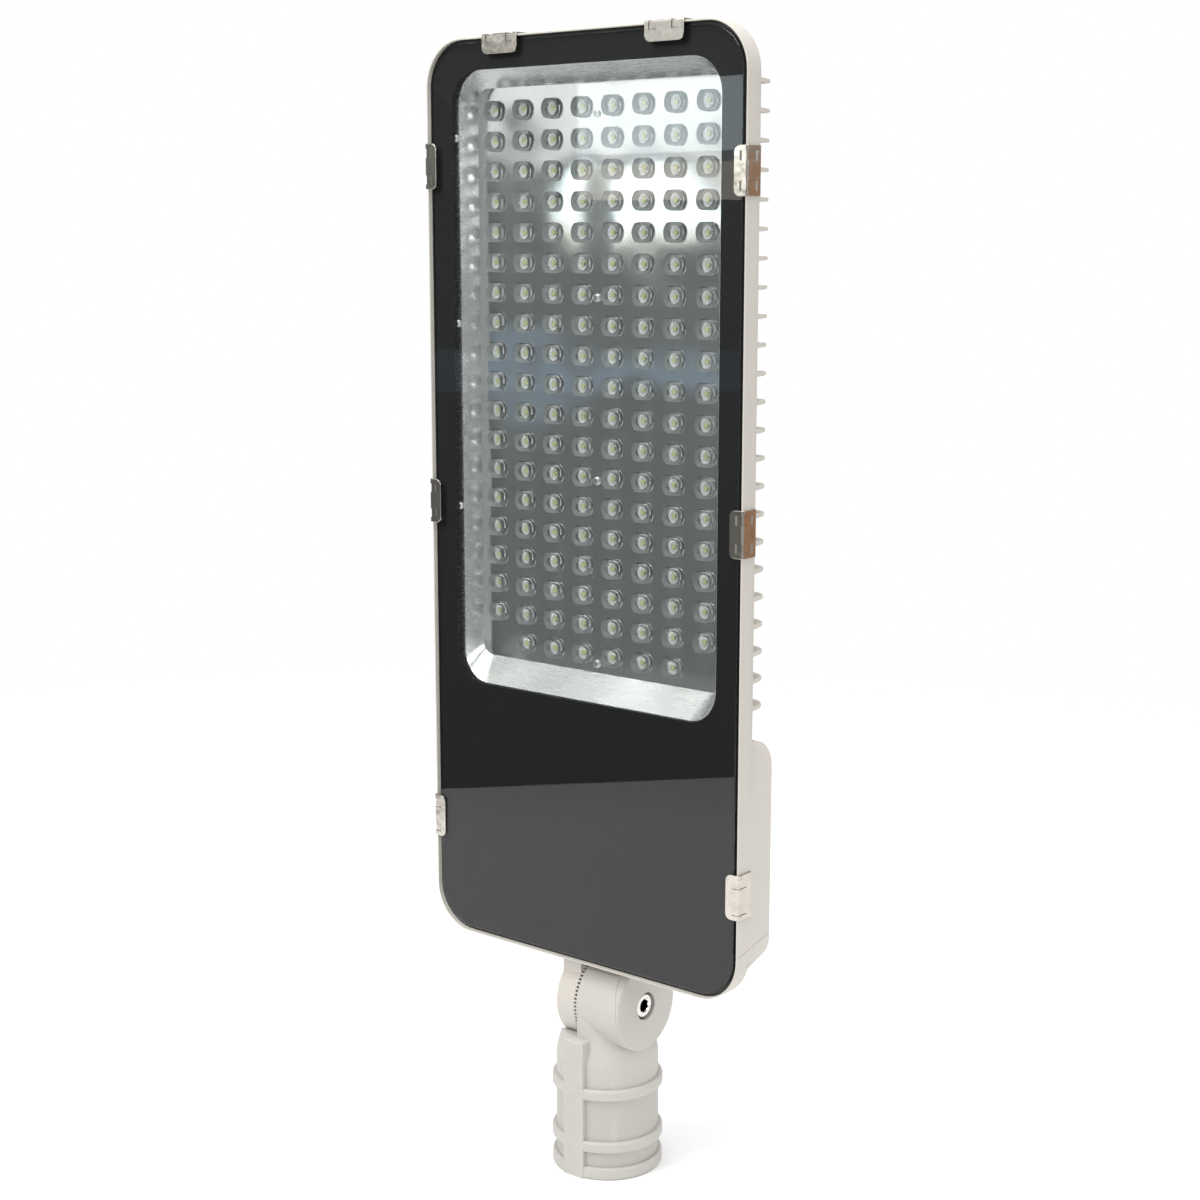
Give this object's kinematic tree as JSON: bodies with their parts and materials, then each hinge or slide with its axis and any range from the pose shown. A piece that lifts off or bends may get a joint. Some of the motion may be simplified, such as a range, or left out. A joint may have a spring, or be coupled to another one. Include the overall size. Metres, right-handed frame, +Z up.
{
  "type": "street lamp head",
  "caption": "LED street-lamp head: cast housing with rear cooling fins, clipped glass over a lens array and a reflector, on a toothed tilt knuckle with a pole spigot.",
  "frame": {"origin": "centre of the pole bore's mouth, at the bottom face of the spigot", "axes": "+Z up the spigot axis into the head, -Y towards the side that the glass faces, +X to the right of someone facing the glass"},
  "size_m": [0.2582, 0.0836, 0.7455],
  "materials": {
    "black_lead": "silicone sleeve",
    "black_plastic": "moulded",
    "black_print": "fired black print on the back of the glass",
    "black_rubber": "matt",
    "black_silicone": "matt silicone",
    "blue_lead": "silicone sleeve",
    "blue_plastic": "moulded",
    "brown_lead": "silicone sleeve",
    "brushed_reflector": "bright aluminium sheet",
    "clear_glass": "4 mm tempered glass",
    "clear_lens": "clear moulded acrylic",
    "clip_steel": "bright stainless spring steel",
    "cream_plastic": "moulded",
    "driver_metal": "extruded case",
    "gland_plastic": "moulded nylon",
    "grey_pad": "thermal pad",
    "housing_paint": "die-cast, warm light grey powder coat",
    "phosphor": "white package with a yellow-green phosphor dot",
    "polished_reflector": "polished aluminium sheet",
    "red_lead": "silicone sleeve",
    "small_screw": "zinc-plated",
    "spigot_paint": "die-cast, warm light grey powder coat",
    "stainless": "stainless steel",
    "stainless_bolt": "turned stainless steel",
    "white_board": "white solder mask",
    "zinc_screw": "stainless steel",
    "zinc_steel": "zinc-plated sheet"
  },
  "bodies": {
    "spigot_side": {"spigot": "spigot_paint", "pivot_bolt": "stainless_bolt", "pivot_washer": "stainless", "knuckle_seal": "black_rubber", "cable_grommet": "black_rubber"},
    "lower_screw": {"pole_screw_lower": "zinc_screw"},
    "upper_screw": {"pole_screw_upper": "zinc_screw"},
    "head": {"board_lead_1": "red_lead", "board_lead_2": "black_lead", "driver_cap_left": "black_plastic", "driver_cap_right": "black_plastic", "driver_case": "driver_metal", "driver_strap": "zinc_steel", "flange_screw_1": "small_screw", "flange_screw_2": "small_screw", "flange_screw_3": "small_screw", "flange_screw_4": "small_screw", "flange_screw_5": "small_screw", "flange_screw_6": "small_screw", "gland_body": "gland_plastic", "gland_cap": "gland_plastic", "glass_clip_left_1": "clip_steel", "glass_clip_left_2": "clip_steel", "glass_clip_left_3": "clip_steel", "glass_clip_right_1": "clip_steel", "glass_clip_right_2": "clip_steel", "glass_clip_right_3": "clip_steel", "glass_clip_top_left": "clip_steel", "glass_clip_top_right": "clip_steel", "glass_gasket": "black_silicone", "glass_pane": "clear_glass", "glass_print": "black_print", "housing": "housing_paint", "led_board": "white_board", "led_chips": "phosphor", "lens_array": "clear_lens", "mains_lead_1": "brown_lead", "mains_lead_2": "blue_lead", "pivot_nut": "stainless", "plate_screw_1": "small_screw", "plate_screw_2": "small_screw", "plate_screw_3": "small_screw", "plate_screw_4": "small_screw", "reflector_frame": "polished_reflector", "reflector_plate": "brushed_reflector", "strap_screw_1": "small_screw", "strap_screw_2": "small_screw", "surge_module": "blue_plastic", "terminal_block": "cream_plastic", "thermal_pad": "grey_pad", "vent_plug": "gland_plastic"}
  },
  "joints": [
    {"name": "head_tilt", "type": "hinge", "parent": "spigot_side", "child": "head", "pos_m": [0, 0, 0.1166], "axis": [1, 0, 0], "range_deg": [-90, 70]},
    {"name": "lower_screw_travel", "type": "slide", "parent": "spigot_side", "child": "lower_screw", "axis": [0, -1, 0], "range_m": [0, 0.004]},
    {"name": "upper_screw_travel", "type": "slide", "parent": "spigot_side", "child": "upper_screw", "axis": [0, -1, 0], "range_m": [0, 0.004]}
  ]
}
